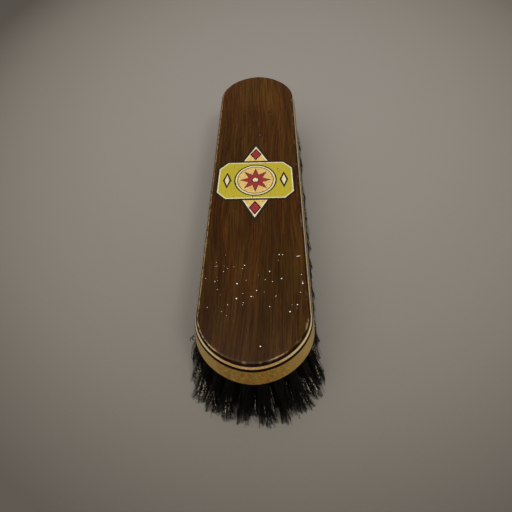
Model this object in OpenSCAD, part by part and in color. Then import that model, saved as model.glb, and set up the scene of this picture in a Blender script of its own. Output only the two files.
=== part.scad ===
// Horsehair shoe shine brush with a laminated hardwood block.
// The block lies along Y with its wide end towards -Y.
// It stands on its bristle tips at z = 0, and the origin is under the middle of the block.

/* [Block] */
// Length of the lower face, where the bristles come out
face_l = 190; // [160:1:240]
// Width of the lower face where the wide end starts to round
near_w = 52.4; // [46:0.2:64]
// Width of the lower face where the narrow end starts to round
far_w = 46.6; // [42:0.2:60]
// Length of the wide end's curve
near_round = 24; // [18:0.5:32]
// Length of the narrow end's curve
far_round = 21.5; // [18:0.5:32]
// Squareness of the block's ends, where 2 is an ellipse
end_power = 1.88; // [1.7:0.02:3]

/* [Layers] */
// Thickness of the drilled hardwood stock
stock_t = 10.7; // [9.5:0.1:16]
// Thickness of the dark line
dark_t = 1.7; // [0.8:0.1:3]
// Thickness of the pale line
pale_t = 1.4; // [0.8:0.1:3]
// Thickness of the walnut back
back_t = 2.2; // [1.2:0.1:6]
// How far each side of the stock leans in from the lower face to its top
stock_lean = 1.3; // [0:0.1:3]
// How far each side of the dark line leans in
dark_lean = 0.5; // [0:0.1:1]
// How far each side of the pale line leans in
pale_lean = 0.5; // [0:0.1:2]
// Width of the rounded rim of the back
rim_w = 1.4; // [0.4:0.1:3]
// Height of the back's square edge under the rounded rim
back_edge = 0.3; // [0.1:0.1:0.8]

/* [Bristles] */
// Length of bristle below the stock
trim = 28.4; // [18:0.2:45]
// How far the tips of the outer tufts stand out past the edge of the lower face, at the sides
side_splay = 4.8; // [2:0.2:9]
// The same at both ends, where they spread more
end_splay = 8; // [2:0.2:9]
// Squareness of the ends of the field of tips
tip_power = 2.45; // [1.8:0.05:3]
// Distance between knots along a row
knot_pitch = 6.2; // [5.6:0.1:9]
// Distance from the edge of the lower face to the outer knots
edge_margin = 3.6; // [3:0.1:5]
// Diameter of a knot hole
knot_d = 3.7; // [3:0.1:3.9]
// Depth of a knot hole along its own axis
knot_depth = 7; // [5:0.1:7.5]
// Clearance between a tuft and the wall of its hole
tuft_gap = 0.1; // [0.05:0.05:0.3]
// Gap left between neighbours in a row at their tips
tip_gap = 0.6; // [0.3:0.1:1.4]

/* [Drawing wire] */
// Thickness of the wire that holds the tufts
wire_d = 0.7; // [0.4:0.05:0.8]
// Clearance round the wire in its holes and above it in its groove
wire_gap = 0.1; // [0.05:0.05:0.2]

/* [Transfer] */
// Thickness of the printed transfer
transfer_t = 0.1; // [0.05:0.05:0.3]
// Length of the transfer's panel along the block
panel_l = 27; // [18:0.5:40]
// Bare wood left between the panel and the rounded rim
panel_margin = 1; // [0.5:0.1:6]
// Size of the panel's clipped corners
panel_clip = 5; // [1:0.5:8]
// Length of the lozenge behind the panel
lozenge_l = 54; // [42:0.5:70]
// Width of the lozenge
lozenge_w = 30; // [20:0.5:34]
// Distance from the tip of the narrow end to the middle of the transfer
transfer_from_end = 90; // [70:1:110]

/* [Hidden] */
$fn = 32;

// Rows on each side of the middle row
side_rows = 4;
// Steps that draw one end's curve
end_steps = 12;
// Steps that measure one stretch of a row
row_steps = 16;
// Steps that draw the rounded rim
rim_steps = 4;
// How far a cut runs past the face it opens
cut = 1;
// The same for a cut along a leaning knot, so that its whole end lies past the face
lean_cut = 2 * cut;

// Heights of the layers, from the floor up
stock_z = trim;
dark_z = stock_z + stock_t;
pale_z = dark_z + dark_t;
back_z = pale_z + pale_t;
top_z = back_z + back_t;

// Where the straight sides start and end along Y
near_y = -face_l / 2 + near_round;
far_y = face_l / 2 - far_round;

// The wire goes down each hole and back up, so it lies double there
loop_d = 2 * wire_d;
wire_hole_d = loop_d + 2 * wire_gap;
groove_w = wire_hole_d + wire_d;
groove_t = wire_d + wire_gap;
tuft_r = knot_d / 2 - tuft_gap;
tip_r = (knot_pitch - tip_gap) / 2;

// A plan is the outline of the block at one level, moved out by a distance from the lower
// face's edge: half widths at both ends of the sides, lengths of both ends, and squareness
function plan(out, power) =
    [near_w / 2 + out, far_w / 2 + out, near_round + out, far_round + out, power];
function bend(t, p) = pow(t, 2 / p[4]);

// A point of a plan's right half. u runs from 0 to 1 round the wide end, from 1 to 2 along
// the side and from 2 to 3 round the narrow end. A share under 1 draws the outline in
// towards the block's middle line.
function plan_point(p, u, share = 1) =
    u < 1 ? [share * p[0] * bend(sin(90 * u), p), near_y - share * p[2] * bend(cos(90 * u), p)]
    : u < 2 ? [share * (p[0] + (p[1] - p[0]) * (u - 1)), near_y + (far_y - near_y) * (u - 1)]
    : [share * p[1] * bend(cos(90 * (u - 2)), p), far_y + share * p[3] * bend(sin(90 * (u - 2)), p)];

function outline(p) =
    let (
        right = [for (start = [0, 2], i = [0:end_steps]) plan_point(p, start + i / end_steps)],
        inner = [for (i = [len(right) - 2:-1:1]) [-right[i].x, right[i].y]]
    )
    concat(right, inner);

// A solid between outlines at rising heights, each level given as [plan, z]
module loft(levels) {
    rings = [for (level = levels) [for (p = outline(level[0])) [p.x, p.y, level[1]]]];
    n = len(rings[0]);
    last = (len(rings) - 1) * n;
    sides = [
        for (k = [0:len(rings) - 2], i = [0:n - 1])
            let (a = k * n + i, b = k * n + (i + 1) % n)
            each [[a, a + n, b + n], [a, b + n, b]]
    ];
    bottom = [for (i = [0:n - 1]) i];
    top = [for (i = [n - 1:-1:0]) last + i];
    polyhedron(points = [for (r = rings) each r], faces = concat(sides, [bottom, top]));
}

// Distances along a path, one for each of its points
function distances(path) = [
    for (i = 0, s = 0; i < len(path); i = i + 1, s = i < len(path) ? s + norm(path[i] - path[i - 1]) : s)
        s
];

// The rows of knots run from end to end. The middle row is straight, and the others follow
// the block's outline round both ends.
knot_plan = plan(-edge_margin, end_power);
tip_plan = [
    near_w / 2 + side_splay - tip_r,
    far_w / 2 + side_splay - tip_r,
    near_round + end_splay - tip_r,
    far_round + end_splay - tip_r,
    tip_power
];
function row_share(row) = abs(row - side_rows - 1) / side_rows;
function row_side(row) = row <= side_rows ? -1 : 1;

// Neighbouring rows are staggered by half a pitch. The first number is where the first knot
// lies, in pitches from the wide end, and the second is how many knots are added to the
// row's count. Every second row shares a knot at each tip with its mirror image, so only
// the left one has them.
function row_phase(row) =
    abs(row - side_rows - 1) % 2 == 0 ? [0.5, 0] : row < side_rows + 1 ? [0, 1] : [1, -1];

// Places of a row's knots, as values of u at even distances along the row
function knot_places(row) =
    let (
        share = row_share(row),
        phase = row_phase(row),
        first = share > 0 ? 0 : 1,
        stretches = share > 0 ? 3 : 1,
        us = [for (i = [0:stretches * row_steps]) first + i / row_steps],
        s = distances([for (u = us) plan_point(knot_plan, u, share)]),
        total = s[len(s) - 1],
        count = round(total / knot_pitch),
        table = [for (i = [0:len(us) - 1]) [s[i], us[i]]]
    )
    [for (i = [0:count - 1 + phase[1]]) lookup((i + phase[0]) * total / count, table)];

// Each knot of a row, as the points where its axis meets the lower face and the floor
function knots(row) = [
    for (u = knot_places(row))
        let (
            share = row_share(row),
            root = plan_point(knot_plan, u, share),
            tip = plan_point(tip_plan, u, share)
        )
        [[row_side(row) * root.x, root.y, stock_z], [row_side(row) * tip.x, tip.y, 0]]
];

// The point of a knot's axis at a height above the lower face
function axis_point(knot, h) = knot[0] + (knot[0] - knot[1]) * h / trim;
function axis_stretch(knot) = norm(knot[0] - knot[1]) / trim;

// Puts its children on a knot's axis, with their z = 0 at the lower face and +Z into the stock
module on_axis(knot) {
    v = knot[0] - knot[1];
    translate(knot[0]) rotate(a = acos(v.z / norm(v)), v = [-v.y, v.x, 0]) children();
}

// A strip of even width along an open path, a little longer than the path at both ends
module strip(path, width) {
    last = len(path) - 1;
    ahead = [
        for (i = [0:last])
            let (d = path[min(i + 1, last)] - path[max(i - 1, 0)])
            [d.x, d.y] / norm([d.x, d.y])
    ];
    reach = [for (i = [0:last]) (i == last ? 1 : 0) - (i == 0 ? 1 : 0)];
    middle = [for (i = [0:last]) [path[i].x, path[i].y] + ahead[i] * reach[i] * width / 2];
    across = [for (d = ahead) [d.y, -d.x] * width / 2];
    polygon(concat(
        [for (i = [0:last]) middle[i] + across[i]],
        [for (i = [last:-1:0]) middle[i] - across[i]]
    ));
}

function wire_path(row) = [for (k = knots(row)) axis_point(k, stock_t - groove_t + wire_d / 2)];

module knot_holes(row) {
    wire_hole_h = stock_t - groove_t / 2;
    for (k = knots(row))
        on_axis(k) rotate_extrude() polygon([
            [0, -lean_cut],
            [knot_d / 2, -lean_cut],
            [knot_d / 2, knot_depth],
            [wire_hole_d / 2, knot_depth],
            [wire_hole_d / 2, wire_hole_h * axis_stretch(k)],
            [0, wire_hole_h * axis_stretch(k)]
        ]);
}

module wire_groove(row) {
    translate([0, 0, dark_z - groove_t])
        linear_extrude(groove_t + cut) strip(wire_path(row), groove_w);
}

module stock_board() {
    lean = stock_lean / stock_t;
    color("#b08a45") difference() {
        intersection() {
            loft([
                [plan(lean * cut, end_power), stock_z - cut],
                [plan(-stock_lean - lean * cut, end_power), dark_z + cut]
            ]);
            translate([-near_w, -face_l, stock_z]) cube([2 * near_w, 2 * face_l, stock_t]);
        }
        for (row = [1:2 * side_rows + 1]) knot_holes(row);
        for (row = [1:2 * side_rows + 1]) wire_groove(row);
    }
}

module dark_line() {
    color("#2a1108") loft([
        [plan(-stock_lean, end_power), dark_z],
        [plan(-stock_lean - dark_lean, end_power), pale_z]
    ]);
}

module pale_line() {
    low = -stock_lean - dark_lean;
    color("#d2b07c") loft([[plan(low, end_power), pale_z], [plan(low - pale_lean, end_power), back_z]]);
}

back_out = -stock_lean - dark_lean - pale_lean;

module walnut_back() {
    color("#4a2c17") loft(concat(
        [[plan(back_out, end_power), back_z]],
        [
            for (i = [0:rim_steps])
                let (a = 90 * i / rim_steps)
                [
                    plan(back_out - rim_w * (1 - cos(a)), end_power),
                    back_z + back_edge + (back_t - back_edge) * sin(a)
                ]
        ]
    ));
}

transfer_y = face_l / 2 - transfer_from_end;

// Half the width of the flat top at a place along the block, less the panel's margin
function panel_half(y) =
    near_w / 2 + (far_w - near_w) / 2 * (y - near_y) / (far_y - near_y) + back_out - rim_w - panel_margin;

module transfer() {
    low = transfer_y - panel_l / 2;
    high = transfer_y + panel_l / 2;
    right = [
        [panel_half(low) - panel_clip, low],
        [panel_half(low), low + panel_clip],
        [panel_half(high), high - panel_clip],
        [panel_half(high) - panel_clip, high]
    ];
    left = [for (i = [len(right) - 1:-1:0]) [-right[i].x, right[i].y]];
    color("#a8a52a") translate([0, 0, top_z]) linear_extrude(transfer_t) union() {
        polygon(concat(right, left));
        translate([0, transfer_y]) polygon([
            [0, -lozenge_l / 2],
            [lozenge_w / 2, 0],
            [0, lozenge_l / 2],
            [-lozenge_w / 2, 0]
        ]);
    }
}

module tuft_row(row) {
    color("#17110d") difference() {
        for (k = knots(row)) {
            length = axis_stretch(k) * trim + lean_cut;
            end_r = tuft_r + (tip_r - tuft_r) * length / (length - lean_cut);
            on_axis(k) rotate_extrude() polygon([
                [0, -length],
                [end_r, -length],
                [tuft_r, 0],
                [tuft_r, knot_depth - tuft_gap],
                [0, knot_depth - tuft_gap]
            ]);
        }
        translate([-near_w, -face_l, -trim]) cube([2 * near_w, 2 * face_l, trim]);
    }
}

module drawing_wire(row) {
    start = knot_depth - tuft_gap;
    color("#b9975b") union() {
        translate([0, 0, dark_z - groove_t]) linear_extrude(wire_d) strip(wire_path(row), wire_d);
        for (k = knots(row))
            on_axis(k) translate([0, 0, start])
                cylinder(h = (stock_t - groove_t + wire_d / 2) * axis_stretch(k) - start, d = loop_d);
    }
}

stock_board();
dark_line();
pale_line();
walnut_back();
transfer();
tuft_row(1);  // tuft_row_1
tuft_row(2);  // tuft_row_2
tuft_row(3);  // tuft_row_3
tuft_row(4);  // tuft_row_4
tuft_row(5);  // tuft_row_5
tuft_row(6);  // tuft_row_6
tuft_row(7);  // tuft_row_7
tuft_row(8);  // tuft_row_8
tuft_row(9);  // tuft_row_9
drawing_wire(1);  // drawing_wire_1
drawing_wire(2);  // drawing_wire_2
drawing_wire(3);  // drawing_wire_3
drawing_wire(4);  // drawing_wire_4
drawing_wire(5);  // drawing_wire_5
drawing_wire(6);  // drawing_wire_6
drawing_wire(7);  // drawing_wire_7
drawing_wire(8);  // drawing_wire_8
drawing_wire(9);  // drawing_wire_9
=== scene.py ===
# %% [markdown]
# # A laminated shoe shine brush
#
# This brush is a hardwood block with about 260 knots of horsehair drawn into it. The block
# is four layers of wood, glued and then shaped and varnished as one. The solid model from
# the pack gives every size. Here its plain solids get smooth outlines, real hair and wood.

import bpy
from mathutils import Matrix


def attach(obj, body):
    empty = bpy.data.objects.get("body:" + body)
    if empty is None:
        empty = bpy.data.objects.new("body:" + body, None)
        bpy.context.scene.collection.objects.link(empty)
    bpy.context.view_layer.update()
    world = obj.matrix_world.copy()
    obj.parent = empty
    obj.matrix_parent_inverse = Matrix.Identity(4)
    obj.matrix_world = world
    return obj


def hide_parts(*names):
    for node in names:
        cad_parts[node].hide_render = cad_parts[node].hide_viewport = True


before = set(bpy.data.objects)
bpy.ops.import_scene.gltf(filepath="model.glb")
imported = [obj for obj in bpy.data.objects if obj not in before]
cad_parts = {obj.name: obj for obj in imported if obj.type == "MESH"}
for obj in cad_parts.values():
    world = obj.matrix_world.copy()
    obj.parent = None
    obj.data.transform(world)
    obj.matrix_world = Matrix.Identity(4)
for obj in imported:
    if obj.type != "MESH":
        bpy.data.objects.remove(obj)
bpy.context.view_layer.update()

# %% [markdown]
# ## Modules
#
# NumPy moves thousands of hairs at once, where a loop in plain Python would take minutes.
# Blender's own Delaunay function triangulates a flat face round holes and inner outlines.

# %% Modules
import math

import bpy
import numpy as np
from mathutils.geometry import delaunay_2d_cdt

print("Blender", bpy.app.version_string, "with NumPy", np.__version__)

# %% [markdown]
# ## The camera
#
# A photograph's camera can be worked out from the outline of a thing of known shape. The
# brush was seen from in front of its wide end and above it, looking down at 56 degrees, so
# the sides draw together towards the far end. A lens of 31.6 mm on a 36 mm sensor gives the
# same convergence. The camera was held a little to the right and rolled by under three
# degrees, which is why the right wall shows and the left one doesn't. The camera comes
# first, because every later choice is judged through it.

# %% Place the camera
MM = 0.001

camera = bpy.data.objects.new("photo_camera", bpy.data.cameras.new("photo_camera"))
bpy.context.scene.collection.objects.link(camera)
camera.location = (10.19 * MM, -155.55 * MM, 210.7 * MM)
camera.rotation_euler = (math.radians(34.39), math.radians(2.68), math.radians(0.76))
camera.data.sensor_width = 36.0
camera.data.lens = 31.64
camera.data.clip_start = 0.01
bpy.context.scene.camera = camera
print("camera at", camera.location[:])

# %% [markdown]
# ## Sizes of the block
#
# These are the solid model's own sizes, in millimetres. A plan is the block's outline at one
# height: two straight sides that taper, and a superellipse round each end. Every layer is
# that same outline, moved in by a little more at each level, which is how a block looks
# after its edge has been run along a sanding belt.

# %% The block's outline
FACE_L, NEAR_W, FAR_W = 190.0, 52.4, 46.6
NEAR_ROUND, FAR_ROUND = 24.0, 21.5
END_POWER = 1.88
TRIM = 28.4
STOCK_T, DARK_T, PALE_T, BACK_T = 10.7, 1.7, 1.4, 2.2
STOCK_LEAN, DARK_LEAN, PALE_LEAN = 1.3, 0.5, 0.5
RIM_W, BACK_EDGE = 1.4, 0.3
DARK_Z = TRIM + STOCK_T
PALE_Z = DARK_Z + DARK_T
BACK_Z = PALE_Z + PALE_T
TOP_Z = BACK_Z + BACK_T
NEAR_Y = -FACE_L / 2 + NEAR_ROUND
FAR_Y = FACE_L / 2 - FAR_ROUND
DARK_OUT = -STOCK_LEAN
PALE_OUT = DARK_OUT - DARK_LEAN
BACK_OUT = PALE_OUT - PALE_LEAN


def plan_point(out, power, u, share=1.0, end_out=None):
    """A point of the right half of the outline, from u = 0 at the wide end to 3 at the other."""
    near, far = NEAR_W / 2 + out, FAR_W / 2 + out
    end_out = out if end_out is None else end_out
    angle = math.radians(90 * (u % 1 if u < 3 else 1))
    along, across = math.cos(angle), math.sin(angle)
    bend = lambda t: max(t, 0.0) ** (2 / power)
    if u < 1:
        return share * near * bend(across), NEAR_Y - share * (NEAR_ROUND + end_out) * bend(along)
    if u < 2:
        return share * (near + (far - near) * (u - 1)), NEAR_Y + (FAR_Y - NEAR_Y) * (u - 1)
    return share * far * bend(along), FAR_Y + share * (FAR_ROUND + end_out) * bend(across)


def ripple(x, y):
    """The small waves, from -1 to 1, that hand sanding leaves along an edge."""
    slow, middling = math.sin(0.35 * x + 0.21 * y), math.sin(0.9 * y - 0.5 * x + 1)
    return (slow + middling + math.sin(1.7 * x + 1.3 * y + 2)) / 3


def outline(out, wave=0.0, end_steps=44, side_steps=72):
    """The closed outline: up the right side, then down the left as its mirror image."""
    steps = [i / end_steps for i in range(end_steps)]
    us = steps + [1 + i / side_steps for i in range(side_steps)] + [2 + s for s in steps] + [3.0]
    right = [plan_point(out, END_POWER, u) for u in us]
    if not wave:
        return right + [(-x, y) for x, y in right[-2:0:-1]]
    halves = []
    for side in (1, -1):
        outs = [out + wave * ripple(side * x, y) for x, y in right]
        waved = [plan_point(moved, END_POWER, u) for moved, u in zip(outs, us)]
        halves.append([(side * x, y) for x, y in waved])
    return halves[0] + halves[1][-2:0:-1]


RING = len(outline(0.0))
print("outline of", RING, "points, heights", TRIM, DARK_Z, PALE_Z, BACK_Z, TOP_Z)

# %% [markdown]
# ## Meshes from rings
#
# Each layer is a loft: rings of the outline at rising heights, joined by quads. A modelling
# program's bevel tool could round the edges, but rings say exactly how far each edge is
# rounded. The top is closed by rungs between the two sides, as on a ladder, so that it has
# no many-sided face. A value per ring, kept as a vertex attribute, tells the material where
# the edges are, since varnish wears first on an edge. Their paler colour is also a painted highlight.

# %% Mesh helpers
def new_piece(name, vertices, faces, attributes=None, smooth=True):
    """A mesh object in the model's frame, from millimetres, with float or colour attributes."""
    mesh = bpy.data.meshes.new(name)
    mesh.from_pydata([tuple(c * MM for c in v) for v in vertices], [], faces)
    for key, values in (attributes or {}).items():
        kind = "FLOAT" if np.ndim(values) == 1 else "FLOAT_COLOR"
        layer = mesh.attributes.new(key, kind, "POINT")
        layer.data.foreach_set("value" if kind == "FLOAT" else "color", np.ravel(values))
    mesh.update()
    if smooth:
        mesh.shade_smooth()
    piece = bpy.data.objects.new(name, mesh)
    bpy.context.scene.collection.objects.link(piece)
    return piece


def ladder(first, count, up):
    """Quads that close a ring of mirrored halves, facing up or down."""
    half = count // 2
    rungs = []
    for i in range(half):
        right, right_next = first + i, first + i + 1
        left, left_next = first + (count - i) % count, first + count - i - 1
        face = [right, right_next, left_next, left]
        face = [v for k, v in enumerate(face) if v not in face[:k]]
        rungs.append(face if up else face[::-1])
    return rungs


def loft(levels):
    """A wall's vertices, faces and edge values, from levels of (out, height, edge value, wave)."""
    rings = [outline(out, *wave) for out, _, _, *wave in levels]
    count = len(rings[0])
    vertices = [(x, y, level[1]) for ring, level in zip(rings, levels) for x, y in ring]
    faces = [
        [k * count + i, k * count + (i + 1) % count,
         (k + 1) * count + (i + 1) % count, (k + 1) * count + i]
        for k in range(len(levels) - 1) for i in range(count)
    ]
    edge = [level[2] for level in levels for _ in range(count)]
    return vertices, faces, edge


LOW_EDGE, HIGH_EDGE = 1.0, 0.6  # edge values of a wall's lower and upper edge


def rounded(out_low, z_low, out_high, z_high, low_r, high_r, steps=4):
    """Levels of a leaning wall whose two edges are rounded off."""
    low, high = [], []
    for i in range(steps + 1):
        a = math.radians(90 * i / steps)
        sine_gap, cosine_gap = 1 - math.sin(a), 1 - math.cos(a)
        low.append((out_low - low_r * sine_gap, z_low + low_r * cosine_gap, LOW_EDGE))
        high.append((out_high - high_r * cosine_gap, z_high - high_r * sine_gap, HIGH_EDGE))
    return low + [(out_low, z_low + 2 * low_r, 0.0), (out_high, z_high - 2 * high_r, 0.0)] + high


def lids(vertices):
    """The faces that close a wall's lowest and highest ring."""
    return ladder(0, RING, up=False) + ladder(len(vertices) - RING, RING, up=True)


print("mesh helpers ready")

# %% [markdown]
# ## The knots
#
# The holes run in nine rows from end to end. The middle row is straight, the others follow
# the outline, and neighbouring rows are staggered, so that the drill leaves wood all round
# each hole. A knot leans outwards from its hole to the floor, because the holes are drilled
# like the ribs of a fan, and the ends fan out more than the sides do. This cell repeats the
# solid model's own rule for the places of the holes.

# %% Places of the knots
SIDE_ROWS, KNOT_PITCH, EDGE_MARGIN = 4, 6.2, 3.6
KNOT_R = 1.85
SIDE_TIP_OUT, END_TIP_OUT, TIP_POWER = 2.0, 5.2, 2.45
ROW_STEPS = 16


def knots(row):
    """Root and tip of every knot of a row, in millimetres."""
    off = row - SIDE_ROWS - 1
    share, side = abs(off) / SIDE_ROWS, (-1 if off <= 0 else 1)
    start, extra = (0.5, 0) if off % 2 == 0 else (0, 1) if off < 0 else (1, -1)
    first, stretches = (0, 3) if share else (1, 1)
    us = [first + i / ROW_STEPS for i in range(stretches * ROW_STEPS + 1)]
    path = np.array([plan_point(-EDGE_MARGIN, END_POWER, u, share) for u in us])
    walked = np.concatenate([[0.0], np.cumsum(np.linalg.norm(np.diff(path, axis=0), axis=1))])
    count = math.floor(walked[-1] / KNOT_PITCH + 0.5)
    found = []
    for i in range(count + extra):
        u = float(np.interp((i + start) * walked[-1] / count, walked, us))
        root = plan_point(-EDGE_MARGIN, END_POWER, u, share)
        tip = plan_point(SIDE_TIP_OUT, TIP_POWER, u, share, END_TIP_OUT)
        found.append(((side * root[0], root[1], TRIM), (side * tip[0], tip[1], 0.0)))
    return found


ROWS = range(1, 2 * SIDE_ROWS + 2)
all_knots = [knot for row in ROWS for knot in knots(row)]
print(len(all_knots), "knots in", len(ROWS), "rows")

# %% [markdown]
# ## Nodes and colours
#
# Wood finishes are built from nodes. One small function adds a node, sets it and links it,
# so that a material reads from top to bottom like a recipe. Colours are written as the sRGB
# hex values that a paint chart uses, and one function turns them into the linear values
# that light is added up in. Patterns are scaled from millimetres.

# %% Node and colour helpers
def linear(hex_colour):
    """An sRGB hex colour as linear red, green, blue and alpha."""
    shares = [int(hex_colour[i:i + 2], 16) / 255 for i in (1, 3, 5)]
    light = [c / 12.92 if c <= 0.04045 else ((c + 0.055) / 1.055) ** 2.4 for c in shares]
    return (*light, 1.0)


def add(tree, kind, inputs=None, stops=None, **settings):
    """Adds a shader node. Inputs are values, or sockets to link from."""
    node = tree.nodes.new("ShaderNode" + kind)
    for key, value in settings.items():
        setattr(node, key, value)
    for key, value in (inputs or {}).items():
        if isinstance(value, bpy.types.NodeSocket):
            tree.links.new(value, node.inputs[key])
        else:
            node.inputs[key].default_value = value
    if stops:
        ramp = node.color_ramp
        while len(ramp.elements) < len(stops):
            ramp.elements.new(1.0)
        for element, (place, colour) in zip(ramp.elements, stops):
            element.position = place
            element.color = linear(colour) if isinstance(colour, str) else (colour,) * 3 + (1.0,)
    return node


def new_material(name):
    """An empty node material and its tree."""
    material = bpy.data.materials.new(name)
    material.use_nodes = True
    material.node_tree.nodes.clear()
    return material, material.node_tree


def per(*millimetres):
    """Texture scales that make a pattern's features this big along X, Y and Z."""
    return tuple(1 / (size * MM) for size in millimetres)


# Sockets of the Mix node in its colour mode
FACTOR, COLOUR_A, COLOUR_B, MIXED = 0, 6, 7, 2
print("mid grey in linear light is", round(linear("#808080")[0], 3))

# %% [markdown]
# ## Walnut's grain
#
# The back is walnut veneer under a thin, worn varnish. Walnut gives the eye three scales at
# once: pores a quarter of a millimetre wide and a few long, fibres about half a millimetre
# apart, and growth bands some millimetres wide that wander along the board. Each is a noise
# stretched along Y. The board's own wander comes from shifting the coordinates first, so
# that all three bend together. A slow tint makes some streaks redder and some greener.

# %% Walnut's grain
def walnut_grain(tree, place):
    """Sockets of walnut's colour, its fibres and its growth bands."""
    slow = add(tree, "Mapping", {"Vector": place, "Scale": per(30, 85, 30)})
    wander = add(tree, "TexNoise", {"Vector": slow.outputs[0], "Scale": 1.0, "Detail": 1.0})
    shift = add(tree, "VectorMath", {0: wander.outputs["Color"], 1: (0.012, 0.0, 0.012)},
                operation="MULTIPLY")
    bent = add(tree, "VectorMath", {0: place, 1: shift.outputs[0]}, operation="ADD").outputs[0]
    fibre_map = add(tree, "Mapping", {"Vector": bent, "Scale": per(0.55, 20, 2)})
    fibre = add(tree, "TexNoise", {
        "Vector": fibre_map.outputs[0], "Scale": 1.0, "Detail": 4.0, "Roughness": 0.6})
    band_map = add(tree, "Mapping", {"Vector": bent, "Scale": per(4.5, 110, 9)})
    band = add(tree, "TexNoise", {
        "Vector": band_map.outputs[0], "Scale": 1.0, "Detail": 3.0, "Roughness": 0.55})
    pore_map = add(tree, "Mapping", {"Vector": bent, "Scale": per(0.24, 3.2, 1)})
    pore = add(tree, "TexNoise", {"Vector": pore_map.outputs[0], "Scale": 1.0, "Detail": 1.0})
    weighed = add(tree, "Math", {0: band.outputs[0], 1: 0.36}, operation="MULTIPLY")
    tone = add(tree, "Math", {0: fibre.outputs[0], 1: 0.64, 2: weighed.outputs[0]},
               operation="MULTIPLY_ADD")
    wood = add(tree, "ValToRGB", {"Fac": tone.outputs[0]},
               [(0.36, "#281402"), (0.46, "#341d05"), (0.54, "#3e2507"), (0.64, "#4e310c")])
    tint_map = add(tree, "Mapping", {
        "Vector": bent, "Scale": per(9, 60, 9), "Location": (3.0, 1.0, 0.0)})
    tint = add(tree, "TexNoise", {"Vector": tint_map.outputs[0], "Scale": 1.0, "Detail": 2.0})
    tinge = add(tree, "ValToRGB", {"Fac": tint.outputs[0]},
                [(0.38, "#8a4a30"), (0.5, "#808080"), (0.62, "#7f8a3e")])
    tinted = add(tree, "Mix", {FACTOR: 0.3, COLOUR_A: wood.outputs[0], COLOUR_B: tinge.outputs[0]},
                 data_type="RGBA", blend_type="SOFT_LIGHT")
    pores = add(tree, "ValToRGB", {"Fac": pore.outputs[0]}, [(0.58, 1.0), (0.68, 0.35)])
    pored = add(tree, "Mix", {
        FACTOR: 0.6, COLOUR_A: tinted.outputs[MIXED], COLOUR_B: pores.outputs[0]},
        data_type="RGBA", blend_type="MULTIPLY")
    return pored.outputs[MIXED], fibre.outputs[0], band.outputs[0]


print("walnut's grain ready")

# %% [markdown]
# ## Walnut's wear
#
# Wear follows the edge value of the mesh. Up to 1 the varnish is thin and chipped in small
# spots. Above 1 the colour is pale and matt in patches of a millimetre or two, because a
# rubbed edge never wears evenly; there it is partly rubbed-through wood and partly a painted
# highlight of the line that the light catches on the crest.

# %% Walnut's wear
def walnut_wear(tree, place):
    """Sockets of the edge value, of how much of it is above 1, and of the pale colour's share, which
    is worn wood and partly painted highlight.
    """
    edge = add(tree, "Attribute", attribute_name="edge").outputs["Fac"]
    chip_map = add(tree, "Mapping", {"Vector": place, "Scale": per(4, 6, 4)})
    chip = add(tree, "TexNoise", {
        "Vector": chip_map.outputs[0], "Scale": 1.0, "Detail": 4.0, "Roughness": 0.6})
    chips = add(tree, "ValToRGB", {"Fac": chip.outputs[0]}, [(0.56, 0.0), (0.68, 0.3)])
    edge_wear_and_highlight = add(tree, "Math", {0: edge, 1: chips.outputs[0]}, operation="MULTIPLY")
    rub_through_and_highlight = add(tree, "Math", {0: edge, 1: 1.0}, operation="SUBTRACT", use_clamp=True)
    patch_map = add(tree, "Mapping", {"Vector": place, "Scale": per(0.9, 1.8, 0.9)})
    patch = add(tree, "TexNoise", {"Vector": patch_map.outputs[0], "Scale": 1.0, "Detail": 2.0})
    patches = add(tree, "ValToRGB", {"Fac": patch.outputs[0]}, [(0.36, 0.15), (0.58, 1.0)])
    broken = add(tree, "Math", {0: rub_through_and_highlight.outputs[0], 1: patches.outputs[0]}, operation="MULTIPLY")
    worn = add(tree, "Math", {0: edge_wear_and_highlight.outputs[0], 1: broken.outputs[0]}, operation="MAXIMUM")
    return edge, rub_through_and_highlight.outputs[0], worn.outputs[0]


print("walnut's wear ready")
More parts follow.
